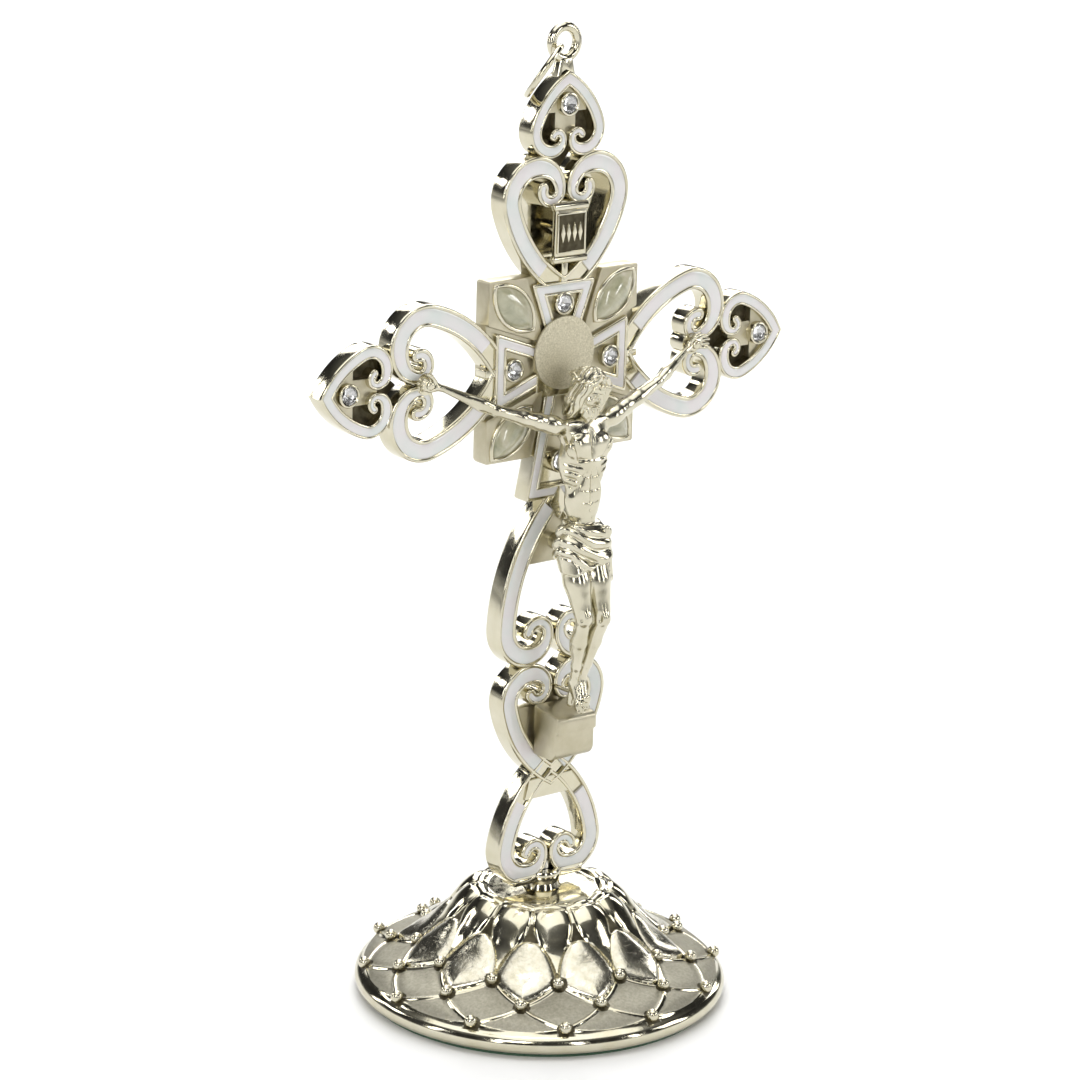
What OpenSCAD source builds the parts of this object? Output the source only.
// Standing altar cross: an openwork cross of enamelled hearts on a bell-shaped base,
// with a figure, a title plaque, set stones and a loose hanging ring at the top.
// Millimetres. +Z is up, the front faces -Y, and the origin is on the ground under the base's axis.

/* [Base] */
// Outer radius of the base at its rim
base_r = 31.7; // [31:0.1:33]
// Height of the base's flat top
base_top_z = 18.4; // [18.2:0.1:18.6]
// Thickness of the base's wall
base_wall = 1.8; // [1.4:0.1:2]
// Thickness of the felt ring under the rim
felt_t = 0.6; // [0.4:0.1:0.8]
// Width of the felt ring
felt_w = 5.4; // [4:0.1:5.6]

/* [Cross] */
// Height of the centre of the cross
centre_z = 110; // [109.8:0.1:111]
// Thickness of the casting, front to back
frame_t = 3.6; // [3.4:0.1:4]
// Width of the metal edge left on each side of the enamel
edge_w = 0.55; // [0.4:0.05:0.6]
// Depth of the enamel channels
enamel_t = 0.5; // [0.4:0.05:0.6]
// Half the width of the centre plate
plate_half_x = 15.4; // [15.2:0.1:15.6]
// Half the height of the centre plate
plate_half_z = 15.1; // [15:0.1:15.3]

/* [Hearts] */
// Half the width of the large arm hearts
large_half_w = 12.9; // [12.8:0.1:13.1]
// Length of the large arm hearts, from the meeting point of their bands to the top of the lobes
large_len = 22.1; // [22:0.1:22.3]
// Width of the band of the large hearts
large_band = 3.7; // [3.5:0.1:3.8]
// Half the width of the small outer hearts
small_half_w = 7.6; // [7.5:0.1:7.7]
// Length of the small outer hearts
small_len = 12.7; // [12.6:0.1:12.8]
// Width of the band of the small hearts
small_band = 2.3; // [2.2:0.1:2.4]
// Half the width of the drop-shaped heart at the top of the shaft
drop_half_w = 11.9; // [11.8:0.1:12]
// Half the width of the lower two shaft hearts
shaft_half_w = 11; // [10.9:0.1:11.1]

/* [Stones and pearls] */
// Radius of the round stones
stone_r = 1.5; // [1.4:0.05:1.55]
// Half the length of the leaf-shaped pearls
pearl_half_len = 5; // [4.9:0.1:5.1]
// Half the width of the leaf-shaped pearls
pearl_half_w = 2.6; // [2.4:0.1:2.7]
// Radius of the halo disc
halo_r = 6.1; // [6:0.1:6.1]

/* [Figure] */
// How far the middle of the figure's chest stands in front of the middle of the cross
chest_y = 7.3; // [7.2:0.1:7.5]
// Distance from the cross's axis to the nail through each hand
hand_x = 27.6; // [27.4:0.1:27.8]

/* [Hanging ring] */
// Radius of the fixed eye's centre line
eye_r = 2.55; // [2.5:0.05:2.6]
// Radius of the fixed eye's wire
eye_wire_r = 0.8; // [0.75:0.05:0.85]
// Radius of the loose ring's centre line
ring_r = 4.7; // [4.6:0.1:4.8]
// Radius of the loose ring's wire
ring_wire_r = 0.5; // [0.45:0.05:0.5]
// Direction from the eye in which the loose ring lies, in degrees from +X
ring_lie = 227; // [221:1:227]
// Turn of the loose ring about its own length, in degrees
ring_turn = 36; // [30:1:36]

/* [Base screw] */
// Radius of the screw's shank
screw_r = 1.2; // [1.1:0.05:1.25]
// Radius of the screw's head
screw_head_r = 2.4; // [2.2:0.1:2.6]

/* [Hidden] */

$fn = 48;
eps = 0.01;
front_y = -frame_t / 2;
back_y = frame_t / 2;
seam = 0.2;                  // half the slit between the two scrolls of a heart
turn_step = 15;              // degrees turned between two points of a scroll
run_step = 3;                // longest straight run in a scroll

// A heart is [half width, length, band, scroll band, lobe radius, scroll radius,
// heading where the side meets the lobe, heading where the lobe tightens, turn of the scroll]
large_heart = [large_half_w, large_len, large_band, 2.2, 5.2, 1.75, 74, 212, 195];
small_heart = [small_half_w, small_len, small_band, 1.5, 3.2, 1.05, 70, 200, 150];
drop_heart = [drop_half_w, 29.2, 3.7, 2.3, 4.8, 2.1, 88, 200, 165];
middle_heart = [shaft_half_w, 20.2, 3.6, 2.2, 4.5, 1.8, 78, 205, 150];
foot_heart = [shaft_half_w, 21, 3.6, 2.2, 4.4, 1.8, 80, 202, 160];

large_start = 12.5;          // from the centre to where a large heart's bands meet
small_start = 46.6;          // from the centre to where a small heart's bands meet
drop_start_z = 88;
middle_start_z = 39;
foot_start_z = 41.2;

// ---------- curves ----------

function flip(p) = [-p[0], p[1]];
function reversed(list) = [for (i = [len(list) - 1:-1:0]) list[i]];

// Where a curve that starts at p with the given heading is after turning through angle a
function arc_end(p, heading, r, a) =
    p + r * [sin(heading + a) - sin(heading), cos(heading) - cos(heading + a)];

function arc_steps(r, sweep) = ceil(max(sweep / turn_step, r * sweep * PI / 180 / run_step));

// Stations [point, heading] along a chain of tangent arcs, each [radius, sweep]
function stations(arcs, p, heading, i = 0) =
    i == len(arcs) ? [] :
    let (r = arcs[i][0], sweep = arcs[i][1], n = arc_steps(r, sweep))
    concat(
        [for (k = [1:n]) [arc_end(p, heading, r, sweep * k / n), heading + sweep * k / n]],
        stations(arcs, arc_end(p, heading, r, sweep), heading + sweep, i + 1));

function lobe_centre(h) = [h[0] - h[2] / 2 - h[4], h[1] - h[2] / 2 - h[4]];

// Extra radius of the side arc over the lobe, so that it passes through the origin
function side_extra(h) =
    let (c = lobe_centre(h), out = [sin(h[6]), -cos(h[6])])
    (c * c - h[4] * h[4]) / (2 * (h[4] + out * c));

function side_centre(h) = lobe_centre(h) - side_extra(h) * [sin(h[6]), -cos(h[6])];

function start_heading(h) = let (c = side_centre(h)) atan2(-c[0], c[1]);

// Radius of the arc that brings the lobe down beside the axis
function shoulder_r(h) =
    (lobe_centre(h)[0] + h[4] * sin(h[7]) - h[3] / 2 - seam) / (1 + sin(h[7]));

function heart_arcs(h) = [
    [h[4] + side_extra(h), h[6] - start_heading(h)],
    [h[4], h[7] - h[6]],
    [shoulder_r(h), 270 - h[7]],
    [h[5], h[8]]
];

// Half the width of the band at a heading: it narrows as the lobe turns down into the scroll
function half_band(h, heading) =
    heading < 180 ? h[2] / 2 :
    heading > 270 ? h[3] / 2 :
    h[2] / 2 + (h[3] - h[2]) / 2 * (heading - 180) / 90;

function band_side(h, list, inset, side) =
    [for (s = list) s[0] + side * (half_band(h, s[1]) - inset) * [sin(s[1]), -cos(s[1])]];

function round_end(s, w) =
    [for (a = [30:30:150]) s[0] + w * [sin(s[1] + a), -cos(s[1] + a)]];

// Outline of a whole heart standing on its point, narrowed by inset on every edge
function heart_outline(h, inset = 0) =
    let (
        line = stations(heart_arcs(h), [0, 0], start_heading(h)),
        tip = (h[2] / 2 - inset) / cos(start_heading(h)),
        last = line[len(line) - 1],
        outer = concat(band_side(h, line, inset, 1), round_end(last, h[3] / 2 - inset)),
        inner = reversed(band_side(h, line, inset, -1)),
        right = concat(outer, inner))
    concat([[0, -tip]], right, [[0, tip]], [for (p = reversed(right)) flip(p)]);

// ---------- placing ----------

// Extrudes a shape drawn in X and Z from its front face to its back face
module slab(from_y, to_y) {
    translate([0, to_y, 0])
        rotate([90, 0, 0])
            linear_extrude(to_y - from_y)
                children();
}

// Turns a shape drawn pointing up about the centre of the cross, where 90 is the left arm
module on_arm(turn) {
    translate([0, centre_z])
        rotate(turn)
            children();
}

module large_shape(turn, inset = 0) {
    on_arm(turn) translate([0, large_start]) polygon(heart_outline(large_heart, inset));
}

module small_shape(turn, inset = 0) {
    on_arm(turn) translate([0, small_start]) rotate(180) polygon(heart_outline(small_heart, inset));
}

module drop_shape(inset = 0) {
    translate([0, drop_start_z]) rotate(180) polygon(heart_outline(drop_heart, inset));
}

module middle_shape(inset = 0) {
    translate([0, middle_start_z]) polygon(heart_outline(middle_heart, inset));
}

module foot_shape(inset = 0) {
    translate([0, foot_start_z]) rotate(180) polygon(heart_outline(foot_heart, inset));
}

// ---------- centre of the cross ----------

arm_root = 5;                // where a trapezoid starts, under the halo
crossing_half = 5.4;         // half the square that joins the four trapezoids
arm_root_half = 3.4;         // its half width there
arm_end = 13.7;              // where the upper three trapezoids end
arm_end_half = 6.6;
low_arm_end = 22.6;          // the lower trapezoid is longer
low_arm_end_half = 6.9;
groove_w = 0.6;              // gap between a trapezoid and the leaf pads
plate_front_y = front_y + 0.9;
pad_root = 3.6;
pocket_inset = 2.3;
pocket_depth = 1.2;
bezel_r = stone_r + 0.45;
stone_seat = 0.7;
stone_rise = 0.35;           // a bezel's height above the face
arm_stone_d = 10;            // from the centre to the upper three centre stones
low_stone_d = 16.5;
tip_stone_d = 42.5;          // from the centre to the outer stones
leaf_d = 10.35;              // from the centre to a leaf, along X and along Z
leaf_rim = 0.7;
leaf_seat = 0.9;
leaf_rise = 0.45;

function arm_slope(end, end_half) = (end_half - arm_root_half) / (end - arm_root);

// Outline of a trapezoid that points up, with its sides and its outer end moved in by inset
function arm_outline(end, end_half, inset = 0) =
    let (
        slope = arm_slope(end, end_half),
        side = inset * sqrt(1 + slope * slope),
        root = arm_root_half - side,
        tip = end_half - slope * inset - side)
    [[-root, arm_root], [root, arm_root], [tip, end - inset], [-tip, end - inset]];

module arm_shape(turn, inset = 0) {
    end = turn == 180 ? low_arm_end : arm_end;
    end_half = turn == 180 ? low_arm_end_half : arm_end_half;
    on_arm(turn) polygon(arm_outline(end, end_half, inset));
}

// Width of the U-shaped enamel band round a trapezoid's pocket
module arm_enamel_shape(turn) {
    difference() {
        arm_shape(turn, edge_w);
        arm_shape(turn, pocket_inset - edge_w);
    }
}

// One square corner pad beside the upper or the lower trapezoid, for the upper right quadrant
function pad_outline(end, end_half) =
    let (
        across = arm_slope(arm_end, arm_end_half),
        up = arm_slope(end, end_half),
        x = arm_root_half + up * (plate_half_z - arm_root) + groove_w,
        z = arm_root_half + across * (plate_half_x - arm_root) + groove_w)
    [[pad_root, pad_root], [x, plate_half_z], [plate_half_x, plate_half_z], [plate_half_x, z]];

module pad_shape(sx, sz) {
    end = sz < 0 ? low_arm_end : arm_end;
    end_half = sz < 0 ? low_arm_end_half : arm_end_half;
    translate([0, centre_z])
        polygon([for (p = pad_outline(end, end_half)) [sx * p[0], sz * p[1]]]);
}

// Pointed oval where two circles cross, with its long axis on the diagonal
module leaf_shape(sx, sz, half_len, half_w) {
    r = (half_len * half_len + half_w * half_w) / (2 * half_w);
    translate([sx * leaf_d, centre_z + sz * leaf_d])
        rotate(sx * sz * 45)
            intersection() {
                translate([0, half_w - r]) circle(r, $fn = 96);
                translate([0, r - half_w]) circle(r, $fn = 96);
            }
}

// Places of the seven stones, as [x, z]
stone_places = [
    [0, centre_z + tip_stone_d], [-tip_stone_d, centre_z], [tip_stone_d, centre_z],
    [0, centre_z + arm_stone_d], [-arm_stone_d, centre_z], [arm_stone_d, centre_z],
    [0, centre_z - low_stone_d]
];

module centre_plate() {
    slab(plate_front_y, back_y)
        translate([-plate_half_x, centre_z - plate_half_z])
            square([2 * plate_half_x, 2 * plate_half_z]);
    slab(front_y, back_y) {
        for (turn = [0, 90, 180, 270]) arm_shape(turn);
        for (sx = [-1, 1], sz = [-1, 1]) pad_shape(sx, sz);
        translate([0, centre_z]) square(2 * crossing_half, center = true);
    }
    for (sx = [-1, 1], sz = [-1, 1])
        slab(front_y - leaf_rise, back_y - 1)
            leaf_shape(sx, sz, pearl_half_len + leaf_rim * 1.4, pearl_half_w + leaf_rim);
}

// ---------- webs and bosses of the casting ----------

web_front_y = -0.6;
web_back_y = 1.2;
nail_web_half = 1.6;         // half the width of the strip that the feet's nail reaches
hand_boss_r = 1.9;
foot_bar_z = 19.9;           // underside of the cross's foot
foot_bar_h = 1.8;
foot_bar_half = 7.4;
foot_boss_r = 3.2;
screw_end_z = 23.2;
eye_z = centre_z + 52.2;

module webs() {
    // in each small heart, from the scrolls to the tip, round the post of the stone
    slab(web_front_y, web_back_y)
        for (turn = [0, 90, 270])
            on_arm(turn)
                polygon([
                    [-2.2, 36.6], [2.2, 36.6], [2.2, 42], [4.2, 42.6],
                    [0, 46.8], [-4.2, 42.6], [-2.2, 42]
                ]);
    // behind the figure's back, at the top of the drop-shaped heart
    slab(web_front_y, web_back_y)
        polygon([[-3, 88], [3, 88], [9.2, 76.2], [-9.2, 76.2]]);
    // behind the foot rest and the feet, across the middle heart
    slab(web_front_y, web_back_y) {
        polygon([[-8.6, 51.5], [8.6, 51.5], [3.4, 41], [-3.4, 41]]);
        translate([feet_nail_x - nail_web_half, 50]) square([2 * nail_web_half, 6.4]);
    }
    // joins the two lower hearts
    slab(front_y, back_y)
        polygon([[-4.4, 38.6], [4.4, 38.6], [5.4, 35.2], [-5.4, 35.2]]);
}

module hand_bosses() {
    for (side = [-1, 1])
        slab(front_y, back_y)
            translate([side * hand_x, centre_z]) circle(hand_boss_r);
}

module foot_of_cross() {
    translate([-foot_bar_half, front_y, foot_bar_z])
        cube([2 * foot_bar_half, frame_t, foot_bar_h]);
    translate([0, 0, base_top_z])
        cylinder(h = foot_bar_z - base_top_z + foot_bar_h, r = foot_boss_r);
}

// The fixed eye on the tip, with its short neck
module eye() {
    translate([0, 0, eye_z])
        rotate([90, 0, 0])
            rotate_extrude()
                translate([eye_r, 0]) circle(eye_wire_r, $fn = 24);
    neck_top = eye_z - eye_r;
    slab(-1, 1)
        translate([-1.2, neck_top - 3]) square([2.4, 3]);
}

module bezel_post(place, floor_y) {
    slab(front_y - stone_rise, floor_y) translate(place) circle(bezel_r);
}

module cross_frame() {
    color("gainsboro")
    difference() {
        union() {
            difference() {
                union() {
                    slab(front_y, back_y) {
                        for (turn = [0, 90, 270]) {
                            large_shape(turn);
                            small_shape(turn);
                        }
                        drop_shape();
                        middle_shape();
                        foot_shape();
                    }
                    centre_plate();
                    webs();
                    hand_bosses();
                    foot_of_cross();
                    eye();
                }
                // enamel channels
                slab(front_y - eps, front_y + enamel_t) {
                    for (turn = [0, 90, 270]) {
                        large_enamel_shape(turn);
                        small_shape(turn, edge_w);
                    }
                    drop_enamel_shape();
                    middle_enamel_shape();
                    foot_enamel_shape();
                    for (turn = [0, 90, 180, 270]) arm_enamel_shape(turn);
                }
                // pockets behind the centre stones
                slab(front_y - eps, front_y + pocket_depth)
                    for (turn = [0, 90, 180, 270]) arm_shape(turn, pocket_inset);
            }
            for (place = stone_places) bezel_post(place, back_y - 0.5);
        }
        // seats of the stones and of the pearls
        for (place = stone_places)
            slab(front_y - stone_rise - eps, front_y - stone_rise + stone_seat)
                translate(place) circle(stone_r);
        for (sx = [-1, 1], sz = [-1, 1])
            slab(front_y - leaf_rise - eps, front_y - leaf_rise + leaf_seat)
                leaf_shape(sx, sz, pearl_half_len, pearl_half_w);
        // tapped hole for the base screw
        translate([0, 0, base_top_z - eps])
            cylinder(h = screw_end_z - base_top_z + 0.4, r = screw_r + 0.05);
    }
}

// ---------- enamel ----------

// A large heart's enamel stops at the centre plate and leaves the hand boss bare
module large_enamel_shape(turn) {
    difference() {
        large_shape(turn, edge_w);
        translate([-plate_half_x - 0.3, centre_z - plate_half_z - 0.3])
            square([2 * plate_half_x + 0.6, 2 * plate_half_z + 0.6]);
        for (side = [-1, 1]) translate([side * hand_x, centre_z]) circle(hand_boss_r);
    }
}

module drop_enamel_shape() {
    difference() {
        drop_shape(edge_w);
        translate([-10, centre_z - low_arm_end - 0.3]) square([20, 12]);
    }
}

// The middle heart's enamel gives way to the hearts that overlap it
module middle_enamel_shape() {
    difference() {
        middle_shape(edge_w);
        translate([-20, 58.4]) square([40, 8]);
        translate([-20, 30]) square([40, 9.2]);
    }
}

module foot_enamel_shape() {
    difference() {
        foot_shape(edge_w);
        translate([-20, 35.6]) square([40, 10]);
    }
}

module enamel() {
    color("white")
    slab(front_y, front_y + enamel_t)
        children();
}

module enamel_top_large() { enamel() large_enamel_shape(0); }
module enamel_left_large() { enamel() large_enamel_shape(90); }
module enamel_right_large() { enamel() large_enamel_shape(270); }
module enamel_small(turn, place) {
    enamel()
        difference() {
            small_shape(turn, edge_w);
            translate(place) circle(bezel_r);
        }
}
module enamel_top_small() { enamel_small(0, stone_places[0]); }
module enamel_left_small() { enamel_small(90, stone_places[1]); }
module enamel_right_small() { enamel_small(270, stone_places[2]); }
module enamel_drop() { enamel() drop_enamel_shape(); }
module enamel_middle() { enamel() middle_enamel_shape(); }
module enamel_foot() { enamel() foot_enamel_shape(); }
module enamel_centre_top() { enamel() arm_enamel_shape(0); }
module enamel_centre_left() { enamel() arm_enamel_shape(90); }
module enamel_centre_right() { enamel() arm_enamel_shape(270); }
module enamel_centre_bottom() { enamel() arm_enamel_shape(180); }

// ---------- stones, pearls, halo ----------

// A round brilliant: flat table, sloping crown, girdle in its seat
module stone(place) {
    seat_y = front_y - stone_rise + stone_seat;
    color("lightgrey")
    translate([place[0], seat_y, place[1]])
        rotate([90, 0, 0]) {
            cylinder(h = stone_seat, r = stone_r);
            translate([0, 0, stone_seat]) cylinder(h = 0.45, r1 = stone_r - 0.05, r2 = stone_r * 0.6);
        }
}

module top_stone() { stone(stone_places[0]); }
module left_stone() { stone(stone_places[1]); }
module right_stone() { stone(stone_places[2]); }
module centre_top_stone() { stone(stone_places[3]); }
module centre_left_stone() { stone(stone_places[4]); }
module centre_right_stone() { stone(stone_places[5]); }
module centre_bottom_stone() { stone(stone_places[6]); }

pearl_dome_r = 12;
pearl_top_y = front_y - leaf_rise - 1.1;

// A leaf-shaped pearl with a domed front
module pearl(sx, sz) {
    color("ivory")
    intersection() {
        slab(pearl_top_y - 1, front_y - leaf_rise + leaf_seat)
            leaf_shape(sx, sz, pearl_half_len, pearl_half_w);
        translate([sx * leaf_d, pearl_top_y + pearl_dome_r, centre_z + sz * leaf_d])
            sphere(pearl_dome_r, $fn = 96);
    }
}

module pearl_top_left() { pearl(-1, 1); }
module pearl_top_right() { pearl(1, 1); }
module pearl_bottom_left() { pearl(-1, -1); }
module pearl_bottom_right() { pearl(1, -1); }

halo_t = 0.6;
halo_rise = 1.9;             // the halo sits above the crossing

module halo_disc() {
    color("tan")
    slab(front_y - halo_t, front_y)
        translate([0, centre_z + halo_rise]) circle(halo_r, $fn = 72);
}

// ---------- title plaque ----------

plaque_half = 3.2;
plaque_low_z = centre_z + 17.6;
plaque_high_z = centre_z + 26.2;
plaque_t = 0.8;
plaque_back_y = front_y - 0.4;
plaque_roll_r = 0.75;
plaque_post_r = 1.2;
backing_t = 0.6;
backing_last_heading = 262;

// A filled heart that reaches to the middle of the band all round
function filled_outline(h) =
    let (right = [for (s = stations(heart_arcs(h), [0, 0], start_heading(h)))
        if (s[1] < backing_last_heading) s[0]])
    concat([[0, 0]], right, [for (p = reversed(right)) flip(p)]);

// Polished sheet on the back of the large top heart, which closes its opening
module title_backing() {
    color("silver")
    slab(back_y, back_y + backing_t)
        translate([0, centre_z + large_start]) polygon(filled_outline(large_heart));
}

module title_plaque() {
    color("silver") {
        slab(plaque_back_y - plaque_t, plaque_back_y)
            translate([-plaque_half, plaque_low_z])
                square([2 * plaque_half, plaque_high_z - plaque_low_z]);
        for (z = [plaque_low_z, plaque_high_z])
            translate([-plaque_half - 0.25, plaque_back_y - plaque_t / 2, z])
                rotate([0, 90, 0])
                    cylinder(h = 2 * plaque_half + 0.5, r = plaque_roll_r, $fn = 24);
        // post that carries the plaque on the backing
        slab(plaque_back_y - plaque_t / 2, back_y)
            translate([0, (plaque_low_z + plaque_high_z) / 2]) circle(plaque_post_r);
    }
}

// ---------- foot rest ----------

rest_half = 4.1;
rest_low_z = 43.4;
rest_high_z = 52;
rest_front_y = -8.4;
rest_slope = 0.8;            // the top drops this much from back to front
rest_corner = 1.8;           // reach of the rounding at the front's lower edge
tenon_half = 3;
tenon_low_z = 46;
tenon_high_z = 51;

// Wedge with a rounded front and a top that slopes forward, tenoned back to the middle web
module foot_rest() {
    color("silver") {
        translate([-rest_half, 0, 0])
            rotate([90, 0, 90])
                linear_extrude(2 * rest_half)
                    rest_profile();
        slab(front_y - 1, web_front_y)
            translate([-tenon_half, tenon_low_z])
                square([2 * tenon_half, tenon_high_z - tenon_low_z]);
    }
}

// Side view of the wedge, drawn in Y and Z
module rest_profile() {
    rounded = [for (a = [180:15:270])
        [rest_front_y + rest_corner + rest_corner * cos(a), rest_low_z + rest_corner + rest_corner * sin(a)]];
    polygon(concat(
        [[front_y, rest_high_z], [rest_front_y + 0.4, rest_high_z - rest_slope],
            [rest_front_y, rest_high_z - rest_slope - 0.5]],
        rounded, [[front_y, rest_low_z]]));
}

// ---------- base ----------

// Outer profile points of the bell, as [radius, height] above the rim's underside
dome_knots = [
    [9, base_top_z], [11.6, 18], [13.6, 16.6], [15.3, 14.4], [17, 12],
    [20, 9.2], [24, 7.2], [28, 5.7], [30.4, 4.2]
];
rim_round = 1.7;
dome_wall_knots = [for (k = dome_knots) if (k[0] > 11 && k[0] < 25) k];
inner_rim_r = base_r - felt_w - 1.2;

// Smooth curve through a list of points
function smooth(p0, p1, p2, p3, t) =
    0.5 * (2 * p1 + (p2 - p0) * t + (2 * p0 - 5 * p1 + 4 * p2 - p3) * t * t
        + (3 * p1 - p0 - 3 * p2 + p3) * t * t * t);

function smooth_line(pts, parts) =
    let (n = len(pts))
    [for (i = [0:n - 2], k = [0:parts - 1])
        smooth(pts[max(i - 1, 0)], pts[i], pts[i + 1], pts[min(i + 2, n - 1)], k / parts),
     pts[n - 1]];

module dome_profile() {
    outer = concat([[0, base_top_z]], smooth_line(dome_knots, 3));
    rim = [for (a = [60:-20:-80]) [base_r - rim_round + rim_round * cos(a),
        felt_t + rim_round + rim_round * sin(a)]];
    inner = [for (k = reversed(smooth_line(dome_wall_knots, 2))) k - [base_wall, base_wall * 0.6]];
    polygon(concat(
        outer, rim, [[base_r - rim_round, felt_t], [inner_rim_r, felt_t], [inner_rim_r, 3.4]],
        inner, [[0, inner[len(inner) - 1][1]]]));
}

boss_r = 4.6;
boss_low_z = 8;
washer_t = 0.6;
washer_r = 3.4;
screw_clear = 0.25;
screw_head_h = 1.7;

module base_dome() {
    color("silver")
    difference() {
        union() {
            rotate_extrude($fn = 96) dome_profile();
            translate([0, 0, boss_low_z]) cylinder(h = base_top_z - 1 - boss_low_z, r = boss_r);
        }
        translate([0, 0, boss_low_z - 1])
            cylinder(h = base_top_z - boss_low_z + 2, r = screw_r + screw_clear);
    }
}

module felt_ring() {
    color("darkgreen")
    difference() {
        cylinder(h = felt_t, r = base_r - 1.2 - 0.5, $fn = 96);
        translate([0, 0, -1]) cylinder(h = felt_t + 2, r = inner_rim_r + 0.4, $fn = 96);
    }
}

module screw_washer() {
    color("dimgray")
    translate([0, 0, boss_low_z - washer_t])
        difference() {
            cylinder(h = washer_t, r = washer_r);
            translate([0, 0, -1]) cylinder(h = washer_t + 2, r = screw_r + screw_clear);
        }
}

module base_screw() {
    head_low_z = boss_low_z - washer_t - screw_head_h;
    color("dimgray")
    difference() {
        union() {
            translate([0, 0, head_low_z]) cylinder(h = screw_head_h, r = screw_head_r);
            translate([0, 0, head_low_z]) cylinder(h = screw_end_z - head_low_z, r = screw_r);
        }
        // cross slot
        for (turn = [0, 90])
            rotate(turn)
                translate([-1.5, -0.25, head_low_z - 1]) cube([3, 0.5, 1.9]);
    }
}

// ---------- figure ----------

// Joints of the body, [x, y, z]
chest = [0.4, -chest_y, 97.2];
belly = [0.4, -chest_y, 88.4];
hips = [0.4, -chest_y - 0.3, 80.6];
neck = [0.5, -chest_y, 102.4];
head = [0.9, -chest_y - 0.3, 106.9];
shoulder_l = [-5.7, -chest_y + 0.6, 101.4];
shoulder_r_pt = [6.5, -chest_y + 0.6, 101.4];
elbow_l = [-16.4, -5.6, 105];
elbow_r = [17, -5.8, 106];
hand_y = front_y - 0.9;
palm_t = 1.3;
feet_nail_x = 0.4;
feet_nail_z = 54.6;
wrist_l = [-25, hand_y - 0.5, 109.2];
wrist_r = [25, hand_y - 0.5, 109.5];
hip_l = [-2.1, -chest_y - 0.1, 79];
hip_r_pt = [2.9, -chest_y - 0.1, 79];
knee_l = [-1.6, -9.8, 69];
knee_r = [2.4, -9.9, 68.4];
ankle_l = [-0.3, -7.6, 56.4];
ankle_r = [1, -7.8, 57];
toe_l = [0, -9.3, 52.4];
toe_r = [0.5, -9.4, 53];
heel = [0.4, -6.6, 52.1];
limb_fn = 16;

module limb(a, ra, b, rb) {
    hull() {
        translate(a) sphere(ra, $fn = limb_fn);
        translate(b) sphere(rb, $fn = limb_fn);
    }
}

// A disc lying flat with an oval outline, for the trunk
module trunk_ring(at, half_x, half_y) {
    translate(at)
        linear_extrude(0.6)
            scale([1, half_y / half_x]) circle(half_x, $fn = 28);
}

module trunk() {
    hull() {
        trunk_ring(neck - [0, 0, 1.3], 4.6, 1.8);
        trunk_ring(chest + [0, 0, 1.5], 5.5, 2.8);
        trunk_ring(chest - [0, 0, 2.5], 4.9, 2.7);
    }
    hull() {
        trunk_ring(chest - [0, 0, 2.5], 4.9, 2.7);
        trunk_ring(belly, 3.8, 2.1);
    }
    hull() {
        trunk_ring(belly, 3.8, 2.1);
        trunk_ring(hips, 4.6, 2.6);
    }
}

// Cloth round the hips, with a knot on the figure's left
module loincloth() {
    hull() {
        trunk_ring(hips + [0, 0, 2.2], 4.7, 2.8);
        trunk_ring(hips - [0, 0, 5], 5, 3.2);
    }
    limb(hips + [4.2, -1, 1], 1.1, hips + [5, -0.6, -4.5], 0.9);
}

module hand(wrist, side) {
    hull() {
        translate(wrist) sphere(0.7, $fn = limb_fn);
        translate([side * (hand_x + 1.2), front_y, centre_z + 0.2])
            rotate([90, 0, 0]) cylinder(h = palm_t, r = 1.1, $fn = limb_fn);
    }
}

// Lug that joins the back of the hips to the web behind them
module back_lug() {
    slab(hips[1], web_front_y) translate([hips[0], hips[2] - 1]) circle(1.6, $fn = 24);
}

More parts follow.
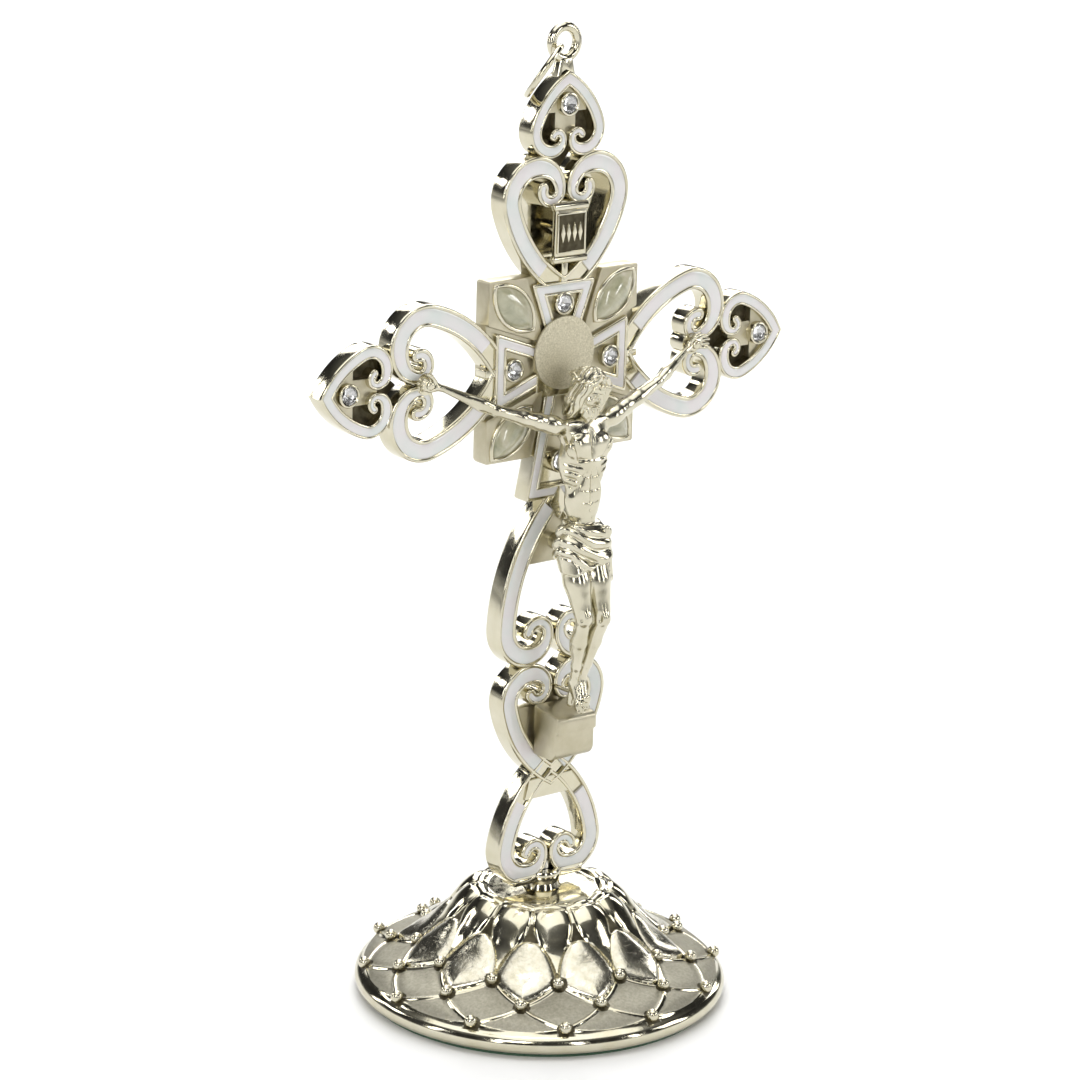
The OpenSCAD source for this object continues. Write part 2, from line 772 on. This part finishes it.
module corpus() {
    color("silver") {
        trunk();
        loincloth();
        limb(neck - [0, 0, 1.5], 1.6, head - [0, 0, 2], 1.5);
        hull() {
            translate(head + [0, 0, 0.9]) sphere(2.5, $fn = 20);
            translate(head + [0.3, -0.5, -1.9]) sphere(1.5, $fn = 20);
        }
        limb(shoulder_l, 1.6, elbow_l, 1.15);
        limb(elbow_l, 1.15, wrist_l, 0.75);
        limb(shoulder_r_pt, 1.6, elbow_r, 1.15);
        limb(elbow_r, 1.15, wrist_r, 0.75);
        hand(wrist_l, -1);
        hand(wrist_r, 1);
        limb(hip_l, 2.3, knee_l, 1.75);
        limb(hip_r_pt, 2.3, knee_r, 1.75);
        limb(knee_l, 1.7, ankle_l, 1);
        limb(knee_r, 1.7, ankle_r, 1);
        limb(ankle_l, 1, toe_l, 0.8);
        limb(ankle_r, 1, toe_r, 0.8);
        limb(ankle_l, 1, heel, 0.8);
        back_lug();
    }
}

crown_r = 2.75;

module crown_of_thorns() {
    color("silver")
    translate(head + [0, 0, 1.5])
        rotate([-8, 6, 0])
            rotate_extrude()
                translate([crown_r, 0]) circle(0.45, $fn = 16);
}

module nail(x, z, from_y, to_y) {
    color("silver") {
        slab(from_y, to_y) translate([x, z]) circle(0.35, $fn = 24);
        slab(from_y - 0.4, from_y) translate([x, z]) circle(0.75, $fn = 24);
    }
}

module left_hand_nail() { nail(-hand_x, centre_z, front_y - palm_t, front_y + 1); }
module right_hand_nail() { nail(hand_x, centre_z, front_y - palm_t, front_y + 1); }
module feet_nail() { nail(feet_nail_x, feet_nail_z, -10.2, web_front_y + 0.8); }

// ---------- hanging ring ----------

eye_gap = 0.1;
ring_start = eye_r - eye_wire_r - ring_wire_r - eye_gap;

// Runs through the eye, and lies on the shoulder of the top heart
module jump_ring() {
    color("gainsboro")
    translate([0, 0, eye_z])
        rotate([0, -ring_lie, 0])
            translate([ring_start + ring_r, 0, 0])
                rotate([ring_turn, 0, 0])
                    rotate_extrude(convexity = 4)
                        translate([ring_r, 0]) circle(ring_wire_r, $fn = 24);
}

base_dome();
felt_ring();
base_screw();
screw_washer();
cross_frame();
title_backing();
title_plaque();
halo_disc();
foot_rest();
corpus();
crown_of_thorns();
left_hand_nail();
right_hand_nail();
feet_nail();
top_stone();
left_stone();
right_stone();
centre_top_stone();
centre_left_stone();
centre_right_stone();
centre_bottom_stone();
pearl_top_left();
pearl_top_right();
pearl_bottom_left();
pearl_bottom_right();
enamel_top_large();
enamel_left_large();
enamel_right_large();
enamel_top_small();
enamel_left_small();
enamel_right_small();
enamel_drop();
enamel_middle();
enamel_foot();
enamel_centre_top();
enamel_centre_left();
enamel_centre_right();
enamel_centre_bottom();
jump_ring();
